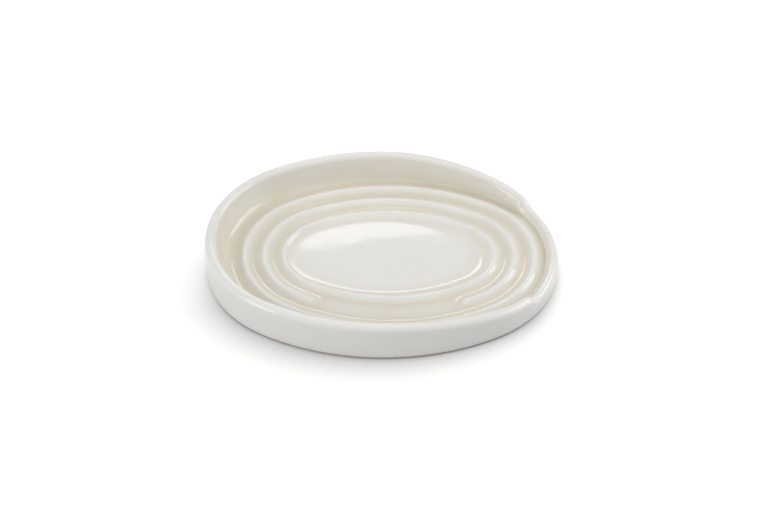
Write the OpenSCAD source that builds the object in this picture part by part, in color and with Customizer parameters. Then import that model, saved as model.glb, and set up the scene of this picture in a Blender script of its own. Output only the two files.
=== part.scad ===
// Oval stoneware spoon rest with ripple ridges, a sloping wall and a low gap for the spoon's handle.
// Frame: +X points to the handle gap, +Z up, origin on the table under the middle of the oval.
// The oval is drawn with four arcs: two round the ends and two along the sides. Every ring of the
// dish is a parallel of that outline, given by its inset, measured inwards, and its height.

/* [Oval] */
// Overall length of the dish, along X
dish_length = 150; // [130:1:180]
// Overall width of the dish, along Y
dish_width = 114.6; // [106:0.1:120]
// Radius of the two end arcs
end_radius = 51; // [46:0.5:52]

/* [Wall] */
// Height of the wall from the blunt end to where it starts to slope
wall_height = 17.6; // [14:0.1:26]
// Height of the wall at the shoulders of the handle gap
shoulder_height = 11.5; // [9.5:0.1:13]
// Height of the low rim in the handle gap
low_rim_height = 8.3; // [7.5:0.1:9.5]
// Where the wall starts to slope, along X
slope_start = 0; // [-30:1:20]
// How gently the slope starts, from straight to rounded
slope_power = 1.8; // [1:0.1:3]
// Where the shoulders start to fall, along X
shoulder_start = 63; // [50:0.5:64]
// Where the shoulders reach the low rim, along X
shoulder_end = 67.5; // [65:0.5:72]
// Radius of the rounded rim
rim_radius = 2.5; // [2:0.1:3]
// Distance from the outline to the foot of the inner wall
wall_foot = 6.9; // [6.5:0.1:7.5]

/* [Ridges] */
// Height of the flat floor of the well
floor_height = 6; // [5:0.1:6.5]
// Height of the ridge crests above the floor
ridge_height = 1.3; // [0.8:0.1:2.5]
// How round the crests are, from a sharp edge to a wave
crest_round = 0.4; // [0.1:0.05:2]
// Number of ridges round the well
ridge_count = 3; // [2:1:3]
// Distance from one ridge crest to the next
ridge_pitch = 8.5; // [7:0.1:9]
// Distance from the outline to the bottom of the gutter along the wall
gutter_inset = 9; // [8:0.1:9.5]
// How far the ridges are moved towards the handle gap
ridge_shift = 2.9; // [0:0.1:3.5]
// How far the well is moved towards the handle gap
well_shift = 0.9; // [0:0.1:3]
// From the middle of the smooth panel in the front to the round ends of the ridge that stops there
panel_half_length = 32.5; // [15:0.5:36]

/* [Foot and glaze] */
// Height of the bare clay edge above the table
bare_height = 1.2; // [1:0.1:2.5]
// How far the foot stands in from the outline
foot_inset = 1.4; // [1.2:0.1:4]
// Width of the bare foot ring
foot_width = 6; // [4:0.5:10]
// Depth of the recess inside the foot ring
recess_depth = 1.2; // [0.6:0.1:2]
// Thickness of the glaze
glaze = 0.5; // [0.3:0.05:0.8]
// Clearance round the edge of the underside glaze
glaze_clearance = 0.2; // [0.1:0.05:0.5]

/* [Hidden] */

// Points round the oval, across a ridge, down the inner wall, round half the rim and round the foot
turn_steps = 64;
wave_steps = 8;
wall_steps = 6;
rim_steps = 3;
foot_steps = 2;

// Four-arc oval: end centres at (+-end_c, 0), side centres at (0, +-side_c)
half_length = dish_length / 2;
half_width = dish_width / 2;
end_c = half_length - end_radius;
side_e = half_width - end_radius;
side_c = (end_c * end_c - side_e * side_e) / (2 * side_e);
side_radius = half_width + side_c;
joint_angle = atan2(side_c, end_c);

// Ridges count from the gutter inwards, and ridge 1 stops at the panel
panel_ridge = 1;
well_inset = gutter_inset + ridge_count * ridge_pitch;

// A groove is a hanging arch, and this is its depth once crest_round has rounded the crests
arch_depth = norm([1, crest_round]) - crest_round;

// A point of the oval's parallel where its normal points at this angle
function oval_point(angle, inset) =
    let (x = cos(angle), y = sin(angle), on_end = abs(x) > cos(joint_angle))
    on_end
        ? [sign(x) * end_c + (end_radius - inset) * x, (end_radius - inset) * y]
        : [(side_radius - inset) * x, -sign(y) * side_c + (side_radius - inset) * y];

// Runs smoothly from 0 to 1 as t does
function ease(t) =
    let (c = min(max(t, 0), 1))
    c * c * (3 - 2 * c);

// Goes from a to b as t goes from 0 to 1
function mix(a, b, t) = a + (b - a) * t;

// Height of the rim over the place x
function slope_at(x) = max(x - slope_start, 0) / (shoulder_start - slope_start);
function rim_height(x) =
    let (
        wall = mix(wall_height, shoulder_height, pow(min(slope_at(x), 1), slope_power)),
        left = (shoulder_end - x) / (shoulder_end - shoulder_start)
    )
    mix(low_rim_height, wall, pow(min(max(left, 0), 1), 2));

// How far this angle lies past the round end of ridge i, in pitches: only the panel's ridge has ends
function past_end(i, angle) =
    i != panel_ridge || sin(angle) > 0
        ? 0
        : let (crest = oval_point(angle, gutter_inset + (i + 0.5) * ridge_pitch))
            max(panel_half_length - abs(crest[0]), 0) / ridge_pitch;

// Lean of the inner wall, which runs straight from the rim's round to its foot
function wall_lean(height) =
    let (across = wall_foot - rim_radius, down = height - rim_radius - floor_height)
    atan2(down, across) + asin(rim_radius / norm([across, down]));

// A point of the section: [inset, height, shift along X]
function foot_points(depth) = [
    for (s = [0 : foot_steps])
        let (a = 90 * s / foot_steps)
        [depth + (foot_inset - depth) * (1 - sin(a)), bare_height * (1 - cos(a)), 0]
];

function rim_points(height, depth) = [
    for (s = [-rim_steps : rim_steps])
        let (a = (s < 0 ? 90 : wall_lean(height)) * s / rim_steps, r = rim_radius - depth)
        [rim_radius + r * sin(a), height - rim_radius + r * cos(a), 0]
];

// The inner wall is a curve that rounds its foot into the gutter, moved by the depth along its normal
function wall_points(height, depth) =
    let (
        lean = wall_lean(height),
        start = [rim_radius * (1 + sin(lean)), height - rim_radius * (1 - cos(lean))],
        foot = [wall_foot, floor_height],
        end = [gutter_inset, floor_height]
    )
    [
        for (s = [1 : wall_steps - 1])
            let (
                t = s / wall_steps,
                r = 1 - t,
                place = pow(r, 3) * start + 3 * r * t * foot + pow(t, 3) * end,
                way = t * t * end - r * r * start + (r - t) * foot,
                off = depth / norm(way)
            )
            [place[0] + off * way[1], place[1] - off * way[0], ridge_shift * ease(t)]
    ];

// The innermost ridge blends from the ridges' shift to the well's
function ridge_points(i, angle, depth) = [
    for (s = [0 : wave_steps - 1])
        let (
            across = s / wave_steps - 0.5,
            away = min(norm([across, past_end(i, angle)]), 0.5),
            up = 1 - 2 * away,
            arch = 1 - up * up,
            rounded = norm([arch, crest_round]),
            rise = ridge_height * (1 - (rounded - crest_round) / arch_depth),
            heading = away == 0 ? 0 : across / away,
            slope = -4 * up * heading * arch / rounded * ridge_height / arch_depth / ridge_pitch,
            n = sqrt(1 + slope * slope),
            inset = gutter_inset + (i + s / wave_steps) * ridge_pitch,
            well_share = i == ridge_count - 1 ? ease(2 * across) : 0
        )
        [
            inset + depth * slope / n,
            floor_height + rise - depth / n,
            mix(ridge_shift, well_shift, well_share)
        ]
];

// The section from the bare edge over the rim and the ridges to the well
function upper_points(angle, depth) =
    let (height = rim_height(oval_point(angle, 0)[0]))
    [
        each rim_points(height, depth),
        each wall_points(height, depth),
        for (i = [0 : ridge_count - 1]) each ridge_points(i, angle, depth),
        [well_inset, floor_height - depth, well_shift]
    ];

// The ring of points that a section point makes round the oval
function ring(sections, k) = [
    for (j = [0 : turn_steps - 1])
        let (p = sections[j][k], q = oval_point(turn_angle(j), p[0]))
        [q[0] + p[2], q[1], p[1]]
];
function turn_angle(j) = 360 * j / turn_steps;

// Bands of triangles between rings of points, closed by a fan at each end
function band(k) = [
    for (j = [0 : turn_steps - 1])
        let (a = k * turn_steps, b = a + turn_steps, next = (j + 1) % turn_steps)
        each [[a + j, b + j, b + next], [a + j, b + next, a + next]]
];
function fan(ring_start, middle, first) = [
    for (j = [0 : turn_steps - 1])
        let (next = (j + 1) % turn_steps)
        first ? [ring_start + j, ring_start + next, middle] : [ring_start + j, middle, ring_start + next]
];

// A closed shell through rings of points, from its first middle point to its last
module shell(sections, first_middle, last_middle) {
    count = len(sections[0]);
    last_ring = (count - 1) * turn_steps;
    points = [for (k = [0 : count - 1]) each ring(sections, k)];
    middle = len(points);
    polyhedron(
        points = concat(points, [first_middle, last_middle]),
        faces = concat(
            [for (k = [0 : count - 2]) each band(k)],
            fan(0, middle, true),
            fan(last_ring, middle + 1, false)
        )
    );
}

module stoneware_body() {
    inner_foot = foot_inset + foot_width;
    ceiling = recess_depth + glaze;
    sections = [
        for (j = [0 : turn_steps - 1]) [
            [inner_foot, ceiling, 0],
            [inner_foot, 0, 0],
            each foot_points(glaze),
            each upper_points(turn_angle(j), glaze)
        ]
    ];
    color("#d9cdb8")
        shell(sections, [0, 0, ceiling], [well_shift, 0, floor_height - glaze]);
}

module outer_glaze() {
    sections = [
        for (j = [0 : turn_steps - 1])
            let (
                inside = upper_points(turn_angle(j), glaze),
                outside = upper_points(turn_angle(j), 0),
                last = len(inside) - 1
            )
            [
                for (k = [last : -1 : 0]) inside[k],
                [glaze, bare_height, 0],
                [0, bare_height, 0],
                each outside
            ]
    ];
    color("#f1eee6")
        shell(sections, [well_shift, 0, floor_height - glaze], [well_shift, 0, floor_height]);
}

module underside_glaze() {
    inset = foot_inset + foot_width + glaze_clearance;
    sections = [
        for (j = [0 : turn_steps - 1])
            [[inset, recess_depth, 0], [inset, recess_depth + glaze, 0]]
    ];
    color("#ece8de")
        shell(sections, [0, 0, recess_depth], [0, 0, recess_depth + glaze]);
}

stoneware_body();
outer_glaze();
underside_glaze();
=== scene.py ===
"""Looks of an oval stoneware spoon rest: a glazed dish with ripple ridges on a bare clay foot."""

import math
from typing import NamedTuple

import bpy
from bpy.props import FloatProperty, FloatVectorProperty, IntProperty, PointerProperty
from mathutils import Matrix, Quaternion, Vector


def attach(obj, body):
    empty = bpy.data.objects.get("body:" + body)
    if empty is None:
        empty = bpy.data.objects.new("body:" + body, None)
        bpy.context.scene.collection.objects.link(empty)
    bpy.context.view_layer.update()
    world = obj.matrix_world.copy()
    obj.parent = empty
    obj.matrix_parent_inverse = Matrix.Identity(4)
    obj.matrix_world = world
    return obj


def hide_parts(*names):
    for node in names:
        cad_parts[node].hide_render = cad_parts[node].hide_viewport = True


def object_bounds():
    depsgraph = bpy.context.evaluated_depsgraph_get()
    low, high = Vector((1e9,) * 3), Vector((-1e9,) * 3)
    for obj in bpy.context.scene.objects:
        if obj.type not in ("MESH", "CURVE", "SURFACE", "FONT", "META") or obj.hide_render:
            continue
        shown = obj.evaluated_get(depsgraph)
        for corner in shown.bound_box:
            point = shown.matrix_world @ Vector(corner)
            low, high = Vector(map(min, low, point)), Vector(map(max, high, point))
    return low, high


bl_info = {
    "name": "Stoneware spoon rest",
    "version": (1, 0, 0),
    "blender": (4, 5, 0),
    "location": "View3D > Sidebar > Spoon rest",
    "description": "Builds a glazed spoon rest, its bare clay foot and a plain studio",
    "category": "Object",
}

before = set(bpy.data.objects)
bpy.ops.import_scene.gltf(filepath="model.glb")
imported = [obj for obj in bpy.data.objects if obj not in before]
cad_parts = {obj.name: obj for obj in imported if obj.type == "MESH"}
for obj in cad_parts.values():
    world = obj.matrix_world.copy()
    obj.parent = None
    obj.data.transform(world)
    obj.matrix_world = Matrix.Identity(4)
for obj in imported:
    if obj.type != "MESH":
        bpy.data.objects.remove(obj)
CAD_LOW, CAD_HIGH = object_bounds()
MM = 0.001
QUARTER_TURN = math.pi / 2
FULL_TURN = 2 * math.pi

# Points round the oval, and along each stretch of the section
TURN_STEPS = 360
LIP_STEPS = 3
WALL_STEPS = 5
RIM_STEPS = 9
INNER_WALL_STEPS = 20
RIDGE_STEPS = 18
WELL_STEPS = 10
FOOT_STEPS = 6

# Cream share of the glaze, from 0, white, to 1, cream: on the inner lip of the rim, towards the innermost
# groove and at the edge of the well
RIM_POOL = 0.4
GROOVE_POOL = 0.75
WELL_POOL = 0.3
# Share of the inner wall past which the glaze is full cream, and steps in the well until it is white
POOL_FULL = 0.9
WELL_FADE_STEPS = 2
# How far the cream gives way to white on the crests, and along the smooth panel
CREST_BREAK = 1.0
PANEL_BREAK = 0.5

# Inputs of the ridge tree, which measures in pitches: half a pitch lies between a crest and a groove
RIDGE_INPUTS = (
    "Height",
    "Pitch",
    "Count",
    "Gutter inset",
    "Shift",
    "Panel ridge",
    "Panel half length",
    "Crest round",
)
HALF_PITCH = 0.5
# Keeps the tree's numbers just inside their ranges
EDGE_MARGIN = 1e-5

# Refraction of fired glaze and clay
CERAMIC_IOR = 1.5

# Cloudy firing marks in the glaze: their size, the noise levels that they lie between, how far they shift
# the cream share, and the roughness from the clearest to the dullest
CLOUD_SIZE = 12 * MM
CLOUD_DETAIL = 3.0
CLOUD_LOW = 0.3
CLOUD_HIGH = 0.7
CLOUD_DRIFT = 0.08
GLAZE_CLEAR = 0.025
GLAZE_DULL = 0.05
# Slow waves of the glaze's poured surface: their length and height
SWELL_LENGTH = 15 * MM
SWELL_HEIGHT = 0.04 * MM
SWELL_DETAIL = 1.0

# Grains of grog in the clay: their size, the noise levels between which they turn dark, and their relief
GRAIN_SIZE = 0.6 * MM
GRAIN_DETAIL = 4.0
GRAIN_PALE = 0.42
GRAIN_DARK = 0.68
GRAIN_RELIEF = 0.1 * MM
GRAIN_STRENGTH = 0.4
CLAY_ROUGHNESS = 0.85

# Half the length of the paper, in metres, and what it adds for the camera, so that it looks white
PAPER_HALF = 3.0
PAPER_GLOW = 0.7
# Painted shade in the paper's glow near the dish: how far it reaches, in metres, how strong and how fine it
# is
PAINTED_SHADE_REACH = 0.045
PAINTED_SHADE_STRENGTH = 2.4
PAINTED_SHADE_SAMPLES = 8
# The painted shade lies in front of the dish: where it starts and where it is full, along Y
PAINTED_SHADE_BACK = 0.03
PAINTED_SHADE_FRONT = -0.03

# Places, targets and sizes of the lights, in metres, and the roll of the back panel, in degrees
LEFT_BOX = {"place": (-0.9, -0.5, 0.38), "target": (0, 0, 0), "width": 0.45, "height": 0.7}
RIGHT_BOX = {"place": (0.95, 0.25, 0.6), "target": (0, 0, 0), "width": 0.9, "height": 0.6}
TOP_BOX = {"place": (-0.1, -0.05, 1.4), "target": (0, 0, 0), "width": 1.0, "height": 1.0}
FRONT_PANEL = {"place": (0.0, -1.3, 0.8), "target": (0, 0, 0), "width": 2.0, "height": 1.1}
BACK_PANEL = {
    "place": (-0.045, 1.0, 0.765),
    "target": (-0.045, 0, 0.765),
    "width": 0.18,
    "height": 0.25,
    "roll": 11,
    "fades": True,
}
# A light that fades is even up to this share of its height, and has this share of its light at the top edge
FADE_START = 0.5
FADE_EDGE = 0.6

# Width of the camera's sensor, in millimetres
SENSOR_WIDTH = 36


def linear(hex_colour):
    """Turns an sRGB hex colour into linear red, green and blue, with the numbers of the sRGB curve."""
    shares = [int(hex_colour[i : i + 2], 16) / 255 for i in (1, 3, 5)]
    return [c / 12.92 if c <= 0.04045 else ((c + 0.055) / 1.055) ** 2.4 for c in shares]


def length_prop(name, description, millimetres):
    """A length that is written in millimetres and kept in metres."""
    return FloatProperty(
        name=name,
        description=description,
        default=millimetres * MM,
        unit="LENGTH",
        precision=5,
    )


def angle_prop(name, description, degrees):
    """An angle that is written in degrees and kept in radians."""
    return FloatProperty(
        name=name,
        description=description,
        default=math.radians(degrees),
        subtype="ANGLE",
    )


def level_prop(name, description, level):
    """How bright a light's face is, where 1 looks white."""
    return FloatProperty(name=name, description=description, default=level, min=0)


def colour_prop(name, description, hex_colour):
    """A colour that is written as sRGB hex and kept as linear values."""
    return FloatVectorProperty(
        name=name,
        description=description,
        default=linear(hex_colour),
        subtype="COLOR",
        min=0,
        max=1,
    )


class SpoonRestSizes(bpy.types.PropertyGroup):
    """Sizes of the dish, with the overall ones taken from the frame."""

    dish_length: length_prop("Dish length", "Length along X", (CAD_HIGH.x - CAD_LOW.x) / MM)
    dish_width: length_prop("Dish width", "Width along Y", (CAD_HIGH.y - CAD_LOW.y) / MM)
    end_radius: length_prop("End radius", "Radius of the two end arcs of the oval", 51)
    wall_height: length_prop("Wall height", "Height of the wall at the blunt end", CAD_HIGH.z / MM)
    shoulder_height: length_prop("Shoulder height", "Height of the wall beside the handle gap", 11.5)
    low_rim_height: length_prop("Low rim height", "Height of the rim in the handle gap", 8.3)
    slope_start: length_prop("Slope start", "Where the wall starts to slope, along X", 0)
    slope_power: FloatProperty(name="Slope power", description="How gently the slope starts", default=1.8)
    shoulder_start: length_prop("Shoulder start", "Where the shoulders start to fall, along X", 63)
    shoulder_end: length_prop("Shoulder end", "Where the shoulders reach the low rim, along X", 67.5)
    rim_radius: length_prop("Rim radius", "Radius of the rounded rim", 2.5)
    wall_foot: length_prop("Wall foot", "From the outline to the foot of the inner wall", 6.9)
    floor_height: length_prop("Floor height", "Height of the flat floor of the well", 6)
    gutter_inset: length_prop("Gutter inset", "From the outline to the bottom of the gutter", 9)
    bare_height: length_prop("Bare height", "Height of the bare clay edge", 1.2)
    foot_inset: length_prop("Foot inset", "How far the foot stands in from the outline", 1.4)
    foot_width: length_prop("Foot width", "Width of the bare foot ring", 6)
    recess_depth: length_prop("Recess depth", "Depth of the recess inside the foot ring", 1.2)
    glaze: length_prop("Glaze", "Thickness of the glaze", 0.5)
    glaze_clearance: length_prop("Glaze clearance", "Gap round the underside glaze", 0.2)


class RidgeSizes(bpy.types.PropertyGroup):
    """Sizes of the ripple ridges round the well."""

    height: length_prop("Ridge height", "Height of the crests above the floor", 1.3)
    pitch: length_prop("Ridge pitch", "Distance from one crest to the next", 8.5)
    count: IntProperty(name="Ridge count", description="Number of ridges round the well", default=3)
    shift: length_prop("Ridge shift", "How far the ridges sit towards the handle gap", 2.9)
    well_shift: length_prop("Well shift", "How far the well sits towards the handle gap", 0.9)
    crest_round: FloatProperty(
        name="Crest round",
        description="How round the crests are, from 0, a sharp edge",
        default=0.4,
        subtype="FACTOR",
    )
    panel_ridge: IntProperty(
        name="Panel ridge",
        description="The ridge that stops at the smooth panel, counted from 0 at the gutter",
        default=1,
    )
    panel_half_length: length_prop("Panel half length", "From the middle to that ridge's round ends", 32.5)


class FinishColours(bpy.types.PropertyGroup):
    """Colours of the glaze, the clay and the paper."""

    glaze_white: colour_prop("Glaze white", "Glaze where it lies thin and even", "#E9E8E4")
    glaze_cream: colour_prop("Glaze cream", "Glaze where it pools in the hollows", "#DBD3C0")
    clay: colour_prop("Clay", "Bare fired clay of the foot", "#C4BCAE")
    clay_dark: colour_prop("Dark clay", "Darker grains in the clay", "#A8A092")
    paper: colour_prop("Paper", "The white paper under the dish", "#CBCBCA")


class StudioSettings(bpy.types.PropertyGroup):
    """The camera and the lights."""

    elevation: angle_prop("Elevation", "How far the camera looks down", 42)
    azimuth: angle_prop("Azimuth", "How far the camera stands towards the handle gap", 0.8)
    distance: length_prop("Distance", "From the camera to the point that it looks at", 900)
    aim_x: length_prop("Aim X", "The point that the camera looks at, along X", 0.1)
    aim_y: length_prop("Aim Y", "The point that the camera looks at, along Y", 6.7)
    lens: FloatProperty(name="Lens", description="Focal length", default=98.4, unit="CAMERA")
    room_light: level_prop("Room light", "Brightness of the light from all round", 0.465)
    left_level: level_prop("Left softbox", "Brightness of the softbox on the left", 3.4)
    right_level: level_prop("Right softbox", "Brightness of the softbox on the right", 3.0)
    top_level: level_prop("Top softbox", "Brightness of the softbox above", 0.95)
    front_level: level_prop("Front panel", "Brightness of the wide panel in front", 0.35)
    back_level: level_prop("Back panel", "Brightness of the white panel behind", 4.4)


def sizes():
    """The dish's sizes, as they are set in the scene."""
    return bpy.context.scene.spoon_rest_sizes


def ridges():
    """The ridges' sizes, as they are set in the scene."""
    return bpy.context.scene.spoon_rest_ridges


def colours():
    """The colours, as they are set in the scene."""
    return bpy.context.scene.spoon_rest_colours


def studio():
    """The camera and lights, as they are set in the scene."""
    return bpy.context.scene.spoon_rest_studio


def add_node(tree, kind, inputs=(), **settings):
    """Adds a node with its settings, gives each input a value or a link, and returns its outputs."""
    made = tree.nodes.new(kind)
    for name, value in settings.items():
        setattr(made, name, value)
    for key, value in dict(inputs).items():
        if isinstance(value, bpy.types.NodeSocket):
            tree.links.new(value, made.inputs[key])
        else:
            made.inputs[key].default_value = value
    return made.outputs


class SectionPoint(NamedTuple):
    """A point of the dish's section, which makes one ring round the oval.

    It has an inset from the outline, a height, a depth in the glaze, a shift along X, its share of the way
    to the middle and the cream share of the glaze.
    """

    inset: float
    height: float
    depth: float = 0.0
    shift: float = 0.0
    centre: float = 0.0
    pool: float = 0.0


def ease(t):
    """Runs smoothly from 0 to 1 as t does."""
    t = min(max(t, 0), 1)
    return t * t * (3 - 2 * t)


def mix(a, b, t):
    """Goes from a to b as t goes from 0 to 1."""
    return a + (b - a) * t


def oval_point(angle, inset):
    """A point of the oval's parallel at this inset, where the oval's normal has this angle."""
    dish = sizes()
    x = math.cos(angle)
    y = math.sin(angle)
    end_centre = dish.dish_length / 2 - dish.end_radius
    side_excess = dish.dish_width / 2 - dish.end_radius
    side_centre = (end_centre**2 - side_excess**2) / (2 * side_excess)
    side_radius = dish.dish_width / 2 + side_centre
    if abs(x) > math.cos(math.atan2(side_centre, end_centre)):
        radius = dish.end_radius - inset
        return Vector((math.copysign(end_centre, x) + radius * x, radius * y, 0))
    radius = side_radius - inset
    return Vector((radius * x, radius * y - math.copysign(side_centre, y), 0))


def rim_height(x):
    """Height of the rim over the place x of the outline."""
    dish = sizes()
    slope = max(x - dish.slope_start, 0) / (dish.shoulder_start - dish.slope_start)
    wall = mix(dish.wall_height, dish.shoulder_height, min(slope, 1) ** dish.slope_power)
    left = (dish.shoulder_end - x) / (dish.shoulder_end - dish.shoulder_start)
    return mix(dish.low_rim_height, wall, min(max(left, 0), 1) ** 2)


def wall_lean(height):
    """Lean of the inner wall, which runs straight from the rim's round to its foot."""
    dish = sizes()
    across = dish.wall_foot - dish.rim_radius
    down = height - dish.rim_radius - dish.floor_height
    return math.atan2(down, across) + math.asin(dish.rim_radius / math.hypot(across, down))


def foot_points():
    """The bare, rounded edge from the foot ring up to where the glaze starts."""
    dish = sizes()
    points = []
    for step in range(FOOT_STEPS + 1):
        turn = QUARTER_TURN * step / FOOT_STEPS
        inset = dish.glaze + (dish.foot_inset - dish.glaze) * (1 - math.sin(turn))
        points.append(SectionPoint(inset, dish.bare_height * (1 - math.cos(turn))))
    return points


def outer_wall_points(angle):
    """The glaze's rounded lower lip and the outer wall up to the rim."""
    dish = sizes()
    points = []
    for step in range(LIP_STEPS):
        turn = QUARTER_TURN * step / LIP_STEPS
        inset = dish.glaze * (1 - math.sin(turn))
        points.append(SectionPoint(inset, dish.bare_height + dish.glaze * (1 - math.cos(turn))))
    low = dish.bare_height + dish.glaze
    top = rim_height(oval_point(angle, 0).x) - dish.rim_radius
    return points + [SectionPoint(0, mix(low, top, step / WALL_STEPS)) for step in range(WALL_STEPS)]


def rim_points(height, depth):
    """The rounded rim, from the outer wall over the top to the inner wall."""
    dish = sizes()
    lean = wall_lean(height)
    radius = dish.rim_radius - depth
    points = []
    for step in range(-RIM_STEPS, RIM_STEPS + 1):
        turn = (QUARTER_TURN if step < 0 else lean) * step / RIM_STEPS
        inset = dish.rim_radius + radius * math.sin(turn)
        top = height - dish.rim_radius + radius * math.cos(turn)
        points.append(SectionPoint(inset, top, depth, pool=RIM_POOL * ease(step / RIM_STEPS)))
    return points


def inner_wall_points(height, depth):
    """A curve that rounds the wall's foot into the gutter, moved by the depth along its normal."""
    dish = sizes()
    lean = wall_lean(height)
    top = height - dish.rim_radius * (1 - math.cos(lean))
    start = Vector((dish.rim_radius * (1 + math.sin(lean)), top))
    foot = Vector((dish.wall_foot, dish.floor_height))
    end = Vector((dish.gutter_inset, dish.floor_height))
    points = []
    for step in range(1, INNER_WALL_STEPS):
        t = step / INNER_WALL_STEPS
        rest = 1 - t
        place = rest**3 * start + 3 * rest * t * foot + t**3 * end
        way = t * t * end - rest * rest * start + (rest - t) * foot
        way.normalize()
        place += depth * Vector((way.y, -way.x))
        pool = mix(RIM_POOL, 1, ease(t / POOL_FULL))
        points.append(SectionPoint(place.x, place.y, depth, ridges().shift * ease(t), pool=pool))
    return points


def floor_points(depth):
    """The floor from the gutter to the middle of the well, still without its ridges."""
    dish = sizes()
    ridge = ridges()
    level = dish.floor_height - depth
    steps = ridge.count * RIDGE_STEPS
    half_ridge = RIDGE_STEPS / 2
    points = []
    for step in range(steps + 1):
        near_well = ease((step - steps + half_ridge) / half_ridge)
        shift = mix(ridge.shift, ridge.well_shift, near_well)
        inset = dish.gutter_inset + ridge.pitch * step / RIDGE_STEPS
        pool = mix(mix(1, GROOVE_POOL, step / steps), WELL_POOL, near_well)
        points.append(SectionPoint(inset, level, depth, shift, pool=pool))
    edge = points[-1]
    for step in range(1, WELL_STEPS):
        pool = WELL_POOL * (1 - ease(step / WELL_FADE_STEPS))
        points.append(edge._replace(centre=step / WELL_STEPS, pool=pool))
    return points


def upper_points(angle, depth):
    """The section from the top of the outer wall over the rim to the middle of the well."""
    height = rim_height(oval_point(angle, 0).x)
    return rim_points(height, depth) + inner_wall_points(height, depth) + floor_points(depth)


def ring_faces(count):
    """Faces between rings that follow each other, with a fan to a middle point at each end."""
    faces = []
    for ring in range(count - 1):
        low = ring * TURN_STEPS
        high = low + TURN_STEPS
        for j in range(TURN_STEPS):
            after = (j + 1) % TURN_STEPS
            faces.append((low + j, low + after, high + after, high + j))
    last_ring = (count - 1) * TURN_STEPS
    first_middle = count * TURN_STEPS
    last_middle = first_middle + 1
    for j in range(TURN_STEPS):
        after = (j + 1) % TURN_STEPS
        faces.append((after, j, first_middle))
        faces.append((last_ring + j, last_ring + after, last_middle))
    return faces


def loft(name, section, first_middle, last_middle):
    """A closed mesh through the rings of a section, with a middle point at each end.

    Each point keeps its inset, depth and cream share, and the way outwards, for the ridge tree.
    """
    angles = [FULL_TURN * j / TURN_STEPS for j in range(TURN_STEPS)]
    columns = [section(angle) for angle in angles]
    rings = list(zip(*columns))
    places = []
    outwards = []
    points = [point for ring in rings for point in ring]
    for ring in rings:
        for angle, point in zip(angles, ring):
            place = oval_point(angle, point.inset) * (1 - point.centre)
            place.x += point.shift
            place.z = point.height
            places.append(place)
            outwards.append(Vector((math.cos(angle), math.sin(angle), 0)))
    places += [first_middle, last_middle]
    points += [points[0], points[-1]]
    outwards += [Vector((0, 0, 0)), Vector((0, 0, 0))]

    mesh = bpy.data.meshes.new(name)
    mesh.from_pydata(places, [], ring_faces(len(rings)))
    for fact in ("inset", "depth", "pool"):
        values = [getattr(point, fact) for point in points]
        mesh.attributes.new(fact, "FLOAT", "POINT").data.foreach_set("value", values)
    parts = [part for outward in outwards for part in outward]
    mesh.attributes.new("outward", "FLOAT_VECTOR", "POINT").data.foreach_set("vector", parts)
    mesh.polygons.foreach_set("use_smooth", [True] * len(mesh.polygons))
    mesh.update()
    piece = bpy.data.objects.new(name, mesh)
    bpy.context.scene.collection.objects.link(piece)
    return piece


def ridge_position(tree, given, inset):
    """Nodes for which ridge a point lies on, how far across it, in pitches, and whether it is on one."""
    # How many ridges lie between the gutter and this point, held between none and all of them
    past = add_node(tree, "ShaderNodeMath", {0: inset, 1: given["Gutter inset"]}, operation="SUBTRACT")[0]
    ratio = add_node(tree, "ShaderNodeMath", {0: past, 1: given["Pitch"]}, operation="DIVIDE")[0]
    most = add_node(tree, "ShaderNodeMath", {0: given["Count"], 1: EDGE_MARGIN}, operation="SUBTRACT")[0]
    along = add_node(tree, "ShaderNodeClamp", {"Value": ratio, "Min": 0.0, "Max": most})[0]
    on_ridges = add_node(tree, "ShaderNodeMath", {0: ratio, 1: most}, operation="LESS_THAN")[0]

    # The whole ridges give the number, and what is left is counted from the crest, halfway across
    index = add_node(tree, "ShaderNodeMath", {0: along}, operation="FLOOR")[0]
    share = add_node(tree, "ShaderNodeMath", {0: along}, operation="FRACT")[0]
    across = add_node(tree, "ShaderNodeMath", {0: share, 1: HALF_PITCH}, operation="SUBTRACT")[0]
    return index, across, on_ridges


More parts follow.
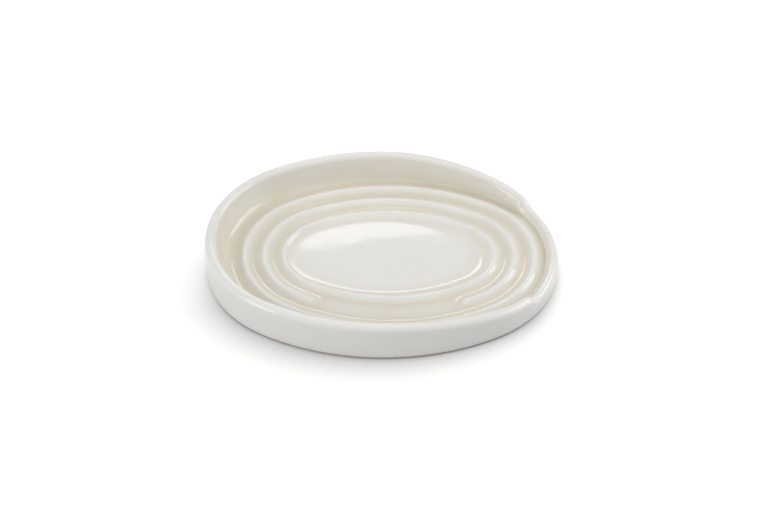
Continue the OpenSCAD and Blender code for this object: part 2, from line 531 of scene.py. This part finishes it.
def panel_ridge_end(tree, given, inset, index, outward):
    """Nodes for how far a point lies past the round end of the panel's ridge, in pitches."""
    normal = add_node(tree, "ShaderNodeSeparateXYZ", {0: outward})
    place = add_node(tree, "GeometryNodeInputPosition")[0]
    place_x = add_node(tree, "ShaderNodeSeparateXYZ", {0: place})["X"]

    # Where this point's normal crosses the crest of that ridge
    middle = add_node(tree, "ShaderNodeMath", {0: given["Panel ridge"], 1: HALF_PITCH}, operation="ADD")[0]
    crest_inset = add_node(
        tree,
        "ShaderNodeMath",
        {0: middle, 1: given["Pitch"], 2: given["Gutter inset"]},
        operation="MULTIPLY_ADD",
    )[0]
    back = add_node(tree, "ShaderNodeMath", {0: inset, 1: crest_inset}, operation="SUBTRACT")[0]
    unshifted = add_node(tree, "ShaderNodeMath", {0: place_x, 1: given["Shift"]}, operation="SUBTRACT")[0]
    crest_x = add_node(
        tree, "ShaderNodeMath", {0: back, 1: normal["X"], 2: unshifted}, operation="MULTIPLY_ADD"
    )[0]

    # The ridge ends at half the panel's length from the middle, on both sides
    reach = add_node(tree, "ShaderNodeMath", {0: crest_x}, operation="ABSOLUTE")[0]
    inside = add_node(
        tree, "ShaderNodeMath", {0: given["Panel half length"], 1: reach}, operation="SUBTRACT"
    )[0]
    beyond_end = add_node(tree, "ShaderNodeMath", {0: inside, 1: 0.0}, operation="MAXIMUM")[0]

    # Only that ridge has ends, and only in front
    in_front = add_node(tree, "ShaderNodeMath", {0: normal["Y"], 1: 0.0}, operation="LESS_THAN")[0]
    on_ridge = add_node(
        tree, "ShaderNodeMath", {0: index, 1: given["Panel ridge"], 2: HALF_PITCH}, operation="COMPARE"
    )[0]
    in_panel = add_node(tree, "ShaderNodeMath", {0: in_front, 1: on_ridge}, operation="MULTIPLY")[0]
    lost = add_node(tree, "ShaderNodeMath", {0: in_panel, 1: beyond_end}, operation="MULTIPLY")[0]
    return add_node(tree, "ShaderNodeMath", {0: lost, 1: given["Pitch"]}, operation="DIVIDE")[0]


def ridge_wave(tree, given, across, past_end, on_ridges):
    """Nodes for the height of a ridge, as a share of its crest's, and for its slope."""
    # How far this point lies from the crest, in pitches, also round the ridge's ends
    across_square = add_node(tree, "ShaderNodeMath", {0: across, 1: across}, operation="MULTIPLY")[0]
    square = add_node(
        tree, "ShaderNodeMath", {0: past_end, 1: past_end, 2: across_square}, operation="MULTIPLY_ADD"
    )[0]
    distance = add_node(tree, "ShaderNodeMath", {0: square}, operation="SQRT")[0]
    away = add_node(tree, "ShaderNodeClamp", {"Value": distance, "Min": EDGE_MARGIN, "Max": HALF_PITCH})[0]

    # A groove is a hanging arch: up = 1 - 2 * away runs from the groove to the crest, and arch = 1 - up * up
    up = add_node(tree, "ShaderNodeMath", {0: away, 1: -2.0, 2: 1.0}, operation="MULTIPLY_ADD")[0]
    down = add_node(tree, "ShaderNodeMath", {0: up, 1: -1.0}, operation="MULTIPLY")[0]
    arch = add_node(tree, "ShaderNodeMath", {0: up, 1: down, 2: 1.0}, operation="MULTIPLY_ADD")[0]

    # A small round joins it to its neighbour at the crest: rounded is the length of (arch, crest round)
    crest = given["Crest round"]
    crest_square = add_node(tree, "ShaderNodeMath", {0: crest, 1: crest}, operation="MULTIPLY")[0]
    round_square = add_node(
        tree, "ShaderNodeMath", {0: arch, 1: arch, 2: crest_square}, operation="MULTIPLY_ADD"
    )[0]
    rounded = add_node(tree, "ShaderNodeMath", {0: round_square}, operation="SQRT")[0]
    full_square = add_node(tree, "ShaderNodeMath", {0: crest_square, 1: 1.0}, operation="ADD")[0]
    full = add_node(tree, "ShaderNodeMath", {0: full_square}, operation="SQRT")[0]
    arch_depth = add_node(tree, "ShaderNodeMath", {0: full, 1: crest}, operation="SUBTRACT")[0]
    below = add_node(tree, "ShaderNodeMath", {0: full, 1: rounded}, operation="SUBTRACT")[0]
    wave = add_node(tree, "ShaderNodeMath", {0: below, 1: arch_depth}, operation="DIVIDE")[0]

    # Slope: -4 * height / pitch / arch_depth * arch / rounded * up, with the sign of the side of the crest
    bend = add_node(tree, "ShaderNodeMath", {0: arch, 1: rounded}, operation="DIVIDE")[0]
    lean = add_node(tree, "ShaderNodeMath", {0: bend, 1: up}, operation="MULTIPLY")[0]
    heading = add_node(tree, "ShaderNodeMath", {0: across, 1: away}, operation="DIVIDE")[0]
    steep = add_node(tree, "ShaderNodeMath", {0: given["Height"], 1: given["Pitch"]}, operation="DIVIDE")[0]
    steeper = add_node(tree, "ShaderNodeMath", {0: steep, 1: arch_depth}, operation="DIVIDE")[0]
    steepest = add_node(tree, "ShaderNodeMath", {0: steeper, 1: -4.0}, operation="MULTIPLY")[0]
    fall = add_node(tree, "ShaderNodeMath", {0: steepest, 1: lean}, operation="MULTIPLY")[0]
    straight = add_node(tree, "ShaderNodeMath", {0: fall, 1: heading}, operation="MULTIPLY")[0]
    slope = add_node(tree, "ShaderNodeMath", {0: straight, 1: on_ridges}, operation="MULTIPLY")[0]
    return wave, slope


def ridge_offset(tree, given, wave, slope, depth, outward):
    """Nodes that lift a point onto its ridge, and keep its depth along the ridge's normal."""
    stretch_square = add_node(
        tree, "ShaderNodeMath", {0: slope, 1: slope, 2: 1.0}, operation="MULTIPLY_ADD"
    )[0]
    stretch = add_node(tree, "ShaderNodeMath", {0: stretch_square}, operation="SQRT")[0]
    level_depth = add_node(tree, "ShaderNodeMath", {0: depth, 1: stretch}, operation="DIVIDE")[0]
    pull = add_node(tree, "ShaderNodeMath", {0: level_depth, 1: slope}, operation="MULTIPLY")[0]
    push = add_node(tree, "ShaderNodeMath", {0: pull, 1: -1.0}, operation="MULTIPLY")[0]
    raised = add_node(
        tree, "ShaderNodeMath", {0: given["Height"], 1: wave, 2: depth}, operation="MULTIPLY_ADD"
    )[0]
    lift = add_node(tree, "ShaderNodeMath", {0: raised, 1: level_depth}, operation="SUBTRACT")[0]
    sideways = add_node(tree, "ShaderNodeVectorMath", {0: outward, "Scale": push}, operation="SCALE")[0]
    upwards = add_node(tree, "ShaderNodeCombineXYZ", {"Z": lift})[0]
    return add_node(tree, "ShaderNodeVectorMath", {0: sideways, 1: upwards}, operation="ADD")[0]


def ridge_pool(tree, pool, wave, across, past_end):
    """Nodes for the cream share of the glaze, which breaks white on the crests and pools in the hollows."""
    hollow = add_node(
        tree, "ShaderNodeMath", {0: wave, 1: -CREST_BREAK, 2: 1.0}, operation="MULTIPLY_ADD"
    )[0]
    in_grooves = add_node(tree, "ShaderNodeMath", {0: pool, 1: hollow}, operation="MULTIPLY")[0]

    # It lies thinner along the middle of the smooth panel: middle_share = 1 - 4 * across * across
    across_square = add_node(tree, "ShaderNodeMath", {0: across, 1: across}, operation="MULTIPLY")[0]
    middle_share = add_node(
        tree, "ShaderNodeMath", {0: across_square, 1: -4.0, 2: 1.0}, operation="MULTIPLY_ADD"
    )[0]
    end_share = add_node(tree, "ShaderNodeMath", {0: past_end, 1: 1.0}, operation="MINIMUM")[0]
    panel_share = add_node(tree, "ShaderNodeMath", {0: middle_share, 1: end_share}, operation="MULTIPLY")[0]
    in_panel = add_node(
        tree, "ShaderNodeMath", {0: panel_share, 1: -PANEL_BREAK, 2: 1.0}, operation="MULTIPLY_ADD"
    )[0]
    return add_node(tree, "ShaderNodeMath", {0: in_grooves, 1: in_panel}, operation="MULTIPLY")[0]


def ridge_tree():
    """A Geometry Nodes tree that raises ripple ridges on a floor, by each point's inset from the outline."""
    tree = bpy.data.node_groups.new("Ripple ridges", "GeometryNodeTree")
    sockets = tree.interface
    sockets.new_socket("Geometry", in_out="INPUT", socket_type="NodeSocketGeometry")
    for name in RIDGE_INPUTS:
        sockets.new_socket(name, in_out="INPUT", socket_type="NodeSocketFloat")
    sockets.new_socket("Material", in_out="INPUT", socket_type="NodeSocketMaterial")
    sockets.new_socket("Geometry", in_out="OUTPUT", socket_type="NodeSocketGeometry")
    given = add_node(tree, "NodeGroupInput")
    inset, depth, pool = (
        add_node(tree, "GeometryNodeInputNamedAttribute", {"Name": name}, data_type="FLOAT")["Attribute"]
        for name in ("inset", "depth", "pool")
    )
    outward = add_node(
        tree, "GeometryNodeInputNamedAttribute", {"Name": "outward"}, data_type="FLOAT_VECTOR"
    )["Attribute"]

    index, across, on_ridges = ridge_position(tree, given, inset)
    past_end = panel_ridge_end(tree, given, inset, index, outward)
    wave, slope = ridge_wave(tree, given, across, past_end, on_ridges)
    offset = ridge_offset(tree, given, wave, slope, depth, outward)
    pooled = ridge_pool(tree, pool, wave, across, past_end)

    moved = add_node(tree, "GeometryNodeSetPosition", {"Geometry": given["Geometry"], "Offset": offset})[0]
    stored = add_node(
        tree,
        "GeometryNodeStoreNamedAttribute",
        {"Geometry": moved, "Name": "pool", "Value": pooled},
        data_type="FLOAT",
        domain="POINT",
    )[0]
    real = add_node(tree, "GeometryNodeRealizeInstances", {"Geometry": stored})[0]
    finished = add_node(
        tree, "GeometryNodeSetMaterial", {"Geometry": real, "Material": given["Material"]}
    )[0]
    add_node(tree, "NodeGroupOutput", {"Geometry": finished})
    return tree


def raise_ridges(piece, material):
    """Runs the ridge tree on a piece, and keeps the result as its plain mesh."""
    ridge = ridges()
    tree = bpy.data.node_groups.get("Ripple ridges") or ridge_tree()
    given = {
        "Height": ridge.height,
        "Pitch": ridge.pitch,
        "Count": float(ridge.count),
        "Gutter inset": sizes().gutter_inset,
        "Shift": ridge.shift,
        "Panel ridge": float(ridge.panel_ridge),
        "Panel half length": ridge.panel_half_length,
        "Crest round": ridge.crest_round,
        "Material": material,
    }
    modifier = piece.modifiers.new("Ridges", "NODES")
    modifier.node_group = tree
    for socket in tree.interface.items_tree:
        if socket.in_out == "INPUT" and socket.name in given:
            modifier[socket.identifier] = given[socket.name]
    graph = bpy.context.evaluated_depsgraph_get()
    mesh = bpy.data.meshes.new_from_object(piece.evaluated_get(graph))
    if len(mesh.polygons) == 0:
        raise RuntimeError(f"the ridge tree left {piece.name} empty")
    piece.modifiers.remove(modifier)
    old = piece.data
    piece.data = mesh
    bpy.data.meshes.remove(old)
    mesh.name = piece.name


def new_material(name):
    """An empty node material and its tree."""
    material = bpy.data.materials.new(name)
    material.use_nodes = True
    material.node_tree.nodes.clear()
    return material, material.node_tree


def glazed_stoneware():
    """White glaze fired on stoneware: glassy and smooth, and creamier where it has pooled."""
    tones = colours()
    material, tree = new_material("glazed_stoneware")
    place = add_node(tree, "ShaderNodeTexCoord")["Object"]
    pool = add_node(tree, "ShaderNodeAttribute", attribute_name="pool")["Fac"]

    # Cloudy firing marks shift the cream share a little
    cloud = add_node(
        tree, "ShaderNodeTexNoise", {"Vector": place, "Scale": 1 / CLOUD_SIZE, "Detail": CLOUD_DETAIL}
    )["Fac"]
    drift = add_node(
        tree,
        "ShaderNodeMapRange",
        {
            "Value": cloud,
            "From Min": CLOUD_LOW,
            "From Max": CLOUD_HIGH,
            "To Min": -CLOUD_DRIFT,
            "To Max": CLOUD_DRIFT,
        },
    )[0]
    shade = add_node(tree, "ShaderNodeMath", {0: pool, 1: drift}, operation="ADD", use_clamp=True)[0]
    colour = add_node(
        tree,
        "ShaderNodeMix",
        {"Factor": shade, "A": (*tones.glaze_white, 1), "B": (*tones.glaze_cream, 1)},
        data_type="RGBA",
    )["Result"]

    # Slow waves of the poured surface break up what it mirrors
    swell = add_node(
        tree, "ShaderNodeTexNoise", {"Vector": place, "Scale": 1 / SWELL_LENGTH, "Detail": SWELL_DETAIL}
    )["Fac"]
    bump = add_node(
        tree, "ShaderNodeBump", {"Strength": 1.0, "Distance": SWELL_HEIGHT, "Height": swell}
    )["Normal"]
    gloss = add_node(
        tree, "ShaderNodeMapRange", {"Value": cloud, "To Min": GLAZE_CLEAR, "To Max": GLAZE_DULL}
    )[0]
    shader = add_node(
        tree,
        "ShaderNodeBsdfPrincipled",
        {"Base Color": colour, "Roughness": gloss, "IOR": CERAMIC_IOR, "Normal": bump},
    )[0]
    add_node(tree, "ShaderNodeOutputMaterial", {"Surface": shader})
    return material


def bare_stoneware():
    """Fired clay with no glaze, wiped clean at the foot: matt and sandy, with grains of fine grog."""
    tones = colours()
    material, tree = new_material("bare_stoneware")
    place = add_node(tree, "ShaderNodeTexCoord")["Object"]
    grains = add_node(
        tree, "ShaderNodeTexNoise", {"Vector": place, "Scale": 1 / GRAIN_SIZE, "Detail": GRAIN_DETAIL}
    )["Fac"]
    speckle = add_node(
        tree, "ShaderNodeMapRange", {"Value": grains, "From Min": GRAIN_PALE, "From Max": GRAIN_DARK}
    )[0]
    colour = add_node(
        tree,
        "ShaderNodeMix",
        {"Factor": speckle, "A": (*tones.clay, 1), "B": (*tones.clay_dark, 1)},
        data_type="RGBA",
    )["Result"]
    bump = add_node(
        tree, "ShaderNodeBump", {"Strength": GRAIN_STRENGTH, "Distance": GRAIN_RELIEF, "Height": grains}
    )["Normal"]
    shader = add_node(
        tree,
        "ShaderNodeBsdfPrincipled",
        {"Base Color": colour, "Roughness": CLAY_ROUGHNESS, "IOR": CERAMIC_IOR, "Normal": bump},
    )[0]
    add_node(tree, "ShaderNodeOutputMaterial", {"Surface": shader})
    return material


def the_material(name, make):
    """The material of that name, made once."""
    return bpy.data.materials.get(name) or make()


class SPOONREST_OT_outer_glaze(bpy.types.Operator):
    """Build the glaze over the wall, the rim, the ridges and the well"""

    bl_idname = "spoonrest.outer_glaze"
    bl_label = "Outer glaze"

    def execute(self, context):
        dish = sizes()
        well_x = ridges().well_shift

        def section(angle):
            inside = upper_points(angle, dish.glaze)[::-1]
            return inside + outer_wall_points(angle) + upper_points(angle, 0)

        inner_middle = Vector((well_x, 0, dish.floor_height - dish.glaze))
        outer_middle = Vector((well_x, 0, dish.floor_height))
        piece = loft("dish_glaze", section, inner_middle, outer_middle)
        raise_ridges(piece, the_material("glazed_stoneware", glazed_stoneware))
        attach(piece, "root")
        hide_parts("outer_glaze")
        return {"FINISHED"}


class SPOONREST_OT_body(bpy.types.Operator):
    """Build the stoneware body, which shows at the bare foot"""

    bl_idname = "spoonrest.body"
    bl_label = "Stoneware body"

    def execute(self, context):
        dish = sizes()
        inner_foot = dish.foot_inset + dish.foot_width
        ceiling = dish.recess_depth + dish.glaze

        def section(angle):
            recess = [SectionPoint(inner_foot, ceiling), SectionPoint(inner_foot, 0)]
            return recess + foot_points() + upper_points(angle, dish.glaze)

        recess_middle = Vector((0, 0, ceiling))
        well_middle = Vector((ridges().well_shift, 0, dish.floor_height - dish.glaze))
        piece = loft("clay_body", section, recess_middle, well_middle)
        raise_ridges(piece, the_material("bare_stoneware", bare_stoneware))
        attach(piece, "root")
        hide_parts("stoneware_body")
        return {"FINISHED"}


class SPOONREST_OT_underside(bpy.types.Operator):
    """Build the glaze in the recess under the dish"""

    bl_idname = "spoonrest.underside"
    bl_label = "Underside glaze"

    def execute(self, context):
        dish = sizes()
        inset = dish.foot_inset + dish.foot_width + dish.glaze_clearance
        low = dish.recess_depth
        top = dish.recess_depth + dish.glaze

        def section(angle):
            return [SectionPoint(inset, low), SectionPoint(inset, top)]

        piece = loft("recess_glaze", section, Vector((0, 0, low)), Vector((0, 0, top)))
        piece.data.materials.append(the_material("glazed_stoneware", glazed_stoneware))
        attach(piece, "root")
        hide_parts("underside_glaze")
        return {"FINISHED"}


def seen_directly(tree):
    """1 for what the camera sees, also by way of a mirror or glass, and 0 for light that falls on things."""
    path = add_node(tree, "ShaderNodeLightPath")
    in_view = add_node(
        tree, "ShaderNodeMath", {0: path["Is Camera Ray"], 1: path["Is Glossy Ray"]}, operation="MAXIMUM"
    )[0]
    return add_node(
        tree, "ShaderNodeMath", {0: in_view, 1: path["Is Transmission Ray"]}, operation="MAXIMUM"
    )[0]


def white_paper_painted_shade():
    """Matt white paper, which looks white to the camera and in the glaze, keeps the dish's shadow, and has a
    painted shade in its glow in front of the dish.
    """
    material, tree = new_material("white_paper_painted_shade")
    seen = seen_directly(tree)
    # Painted shade: the paper glows less where the dish encloses it, in front
    open_sky = add_node(
        tree, "ShaderNodeAmbientOcclusion", {"Distance": PAINTED_SHADE_REACH}, samples=PAINTED_SHADE_SAMPLES
    )["AO"]
    clear = add_node(tree, "ShaderNodeMath", {0: open_sky, 1: PAINTED_SHADE_STRENGTH}, operation="POWER")[0]
    place = add_node(tree, "ShaderNodeTexCoord")["Object"]
    place_y = add_node(tree, "ShaderNodeSeparateXYZ", {0: place})["Y"]
    in_front = add_node(
        tree, "ShaderNodeMapRange", {"Value": place_y, "From Min": PAINTED_SHADE_BACK, "From Max": PAINTED_SHADE_FRONT}
    )[0]
    glow_under_painted_shade = add_node(tree, "ShaderNodeMix", {"Factor": in_front, "A": 1.0, "B": clear})["Result"]
    lit = add_node(tree, "ShaderNodeMath", {0: seen, 1: glow_under_painted_shade}, operation="MULTIPLY")[0]
    glow = add_node(tree, "ShaderNodeMath", {0: lit, 1: PAPER_GLOW}, operation="MULTIPLY")[0]
    matt = add_node(tree, "ShaderNodeBsdfDiffuse", {"Color": (*colours().paper, 1)})[0]
    light = add_node(tree, "ShaderNodeEmission", {"Strength": glow})[0]
    both = add_node(tree, "ShaderNodeAddShader", {0: matt, 1: light})[0]
    add_node(tree, "ShaderNodeOutputMaterial", {"Surface": both})
    return material


def lay_paper(scene):
    """Lays the paper flat under the dish."""
    corners = [(x * PAPER_HALF, y * PAPER_HALF, 0) for x, y in ((-1, -1), (1, -1), (1, 1), (-1, 1))]
    mesh = bpy.data.meshes.new("paper")
    mesh.from_pydata(corners, [], [(0, 1, 2, 3)])
    mesh.materials.append(white_paper_painted_shade())
    paper = bpy.data.objects.new("paper", mesh)
    scene.collection.objects.link(paper)


def light_room(scene):
    """Even light from all round, from a room that looks white to the camera and in the glaze."""
    world = bpy.data.worlds.new("Studio")
    world.use_nodes = True
    tree = world.node_tree
    tree.nodes.clear()
    seen = seen_directly(tree)
    level = add_node(
        tree, "ShaderNodeMapRange", {"Value": seen, "To Min": studio().room_light, "To Max": 1.0}
    )[0]
    sky = add_node(tree, "ShaderNodeBackground", {"Color": (1, 1, 1, 1), "Strength": level})[0]
    add_node(tree, "ShaderNodeOutputWorld", {"Surface": sky})
    scene.world = world


def fade_light(data):
    """Dims the upper part of a light's face towards its top edge."""
    data.use_nodes = True
    tree = data.node_tree
    tree.nodes.clear()
    spot = add_node(tree, "ShaderNodeNewGeometry")["Parametric"]
    up = add_node(tree, "ShaderNodeSeparateXYZ", {0: spot})["Y"]
    glow = add_node(
        tree,
        "ShaderNodeMapRange",
        {"Value": up, "From Min": 1.0, "From Max": FADE_START, "To Min": FADE_EDGE, "To Max": 1.0},
    )[0]
    light = add_node(tree, "ShaderNodeEmission", {"Strength": glow})[0]
    add_node(tree, "ShaderNodeOutputLight", {"Surface": light})


def softbox(name, level, place, target, width, height, roll=0, fades=False):
    """A rectangular light whose face has this brightness, turned to a point and rolled by some degrees."""
    data = bpy.data.lights.new(name, "AREA")
    data.shape = "RECTANGLE"
    data.energy = level * math.pi * width * height
    data.size = width
    data.size_y = height
    if fades:
        fade_light(data)
    lamp = bpy.data.objects.new(name, data)
    lamp.location = place
    lamp.rotation_mode = "QUATERNION"
    facing = (Vector(target) - Vector(place)).to_track_quat("-Z", "Y")
    lamp.rotation_quaternion = facing @ Quaternion((0, 0, 1), math.radians(roll))
    bpy.context.scene.collection.objects.link(lamp)


def place_camera(scene):
    """A camera that looks down at the front of the dish."""
    view = studio()
    data = bpy.data.cameras.new("Camera")
    data.sensor_width = SENSOR_WIDTH
    data.lens = view.lens
    camera = bpy.data.objects.new("Camera", data)
    level = math.cos(view.elevation)
    aside = math.sin(view.azimuth) * level
    front = -math.cos(view.azimuth) * level
    back = Vector((aside, front, math.sin(view.elevation)))
    camera.location = Vector((view.aim_x, view.aim_y, 0)) + view.distance * back
    camera.rotation_mode = "QUATERNION"
    camera.rotation_quaternion = (-back).to_track_quat("-Z", "Y")
    scene.collection.objects.link(camera)
    scene.camera = camera


class SPOONREST_OT_stage(bpy.types.Operator):
    """Build the paper, the lights and the camera"""

    bl_idname = "spoonrest.stage"
    bl_label = "Stage"

    def execute(self, context):
        scene = context.scene
        lights = studio()
        scene.view_settings.view_transform = "Standard"
        lay_paper(scene)
        light_room(scene)
        softbox("left_softbox", lights.left_level, **LEFT_BOX)
        softbox("right_softbox", lights.right_level, **RIGHT_BOX)
        softbox("top_softbox", lights.top_level, **TOP_BOX)
        softbox("front_panel", lights.front_level, **FRONT_PANEL)
        softbox("back_panel", lights.back_level, **BACK_PANEL)
        place_camera(scene)
        return {"FINISHED"}


class SPOONREST_PT_panel(bpy.types.Panel):
    """Sidebar panel with the sizes, the colours and a button for each piece"""

    bl_label = "Spoon rest"
    bl_idname = "SPOONREST_PT_panel"
    bl_space_type = "VIEW_3D"
    bl_region_type = "UI"
    bl_category = "Spoon rest"

    def draw(self, context):
        for settings in (sizes(), ridges(), colours(), studio()):
            box = self.layout.box()
            for name in settings.__annotations__:
                box.prop(settings, name)
        for operator in OPERATORS:
            self.layout.operator(operator.bl_idname)


SETTINGS = {
    "spoon_rest_sizes": SpoonRestSizes,
    "spoon_rest_ridges": RidgeSizes,
    "spoon_rest_colours": FinishColours,
    "spoon_rest_studio": StudioSettings,
}
OPERATORS = (
    SPOONREST_OT_body,
    SPOONREST_OT_outer_glaze,
    SPOONREST_OT_underside,
    SPOONREST_OT_stage,
)


def register():
    """Registers the settings, the operators and the panel."""
    for name, group in SETTINGS.items():
        bpy.utils.register_class(group)
        setattr(bpy.types.Scene, name, PointerProperty(type=group))
    for operator in OPERATORS:
        bpy.utils.register_class(operator)
    bpy.utils.register_class(SPOONREST_PT_panel)


def unregister():
    """Takes back what register did, in the opposite order."""
    bpy.utils.unregister_class(SPOONREST_PT_panel)
    for operator in reversed(OPERATORS):
        bpy.utils.unregister_class(operator)
    for name, group in reversed(SETTINGS.items()):
        delattr(bpy.types.Scene, name)
        bpy.utils.unregister_class(group)


def main():
    """Builds the pieces and the stage."""
    register()
    bpy.ops.spoonrest.body()
    bpy.ops.spoonrest.outer_glaze()
    bpy.ops.spoonrest.underside()
    bpy.ops.spoonrest.stage()


if __name__ == "__main__":
    main()
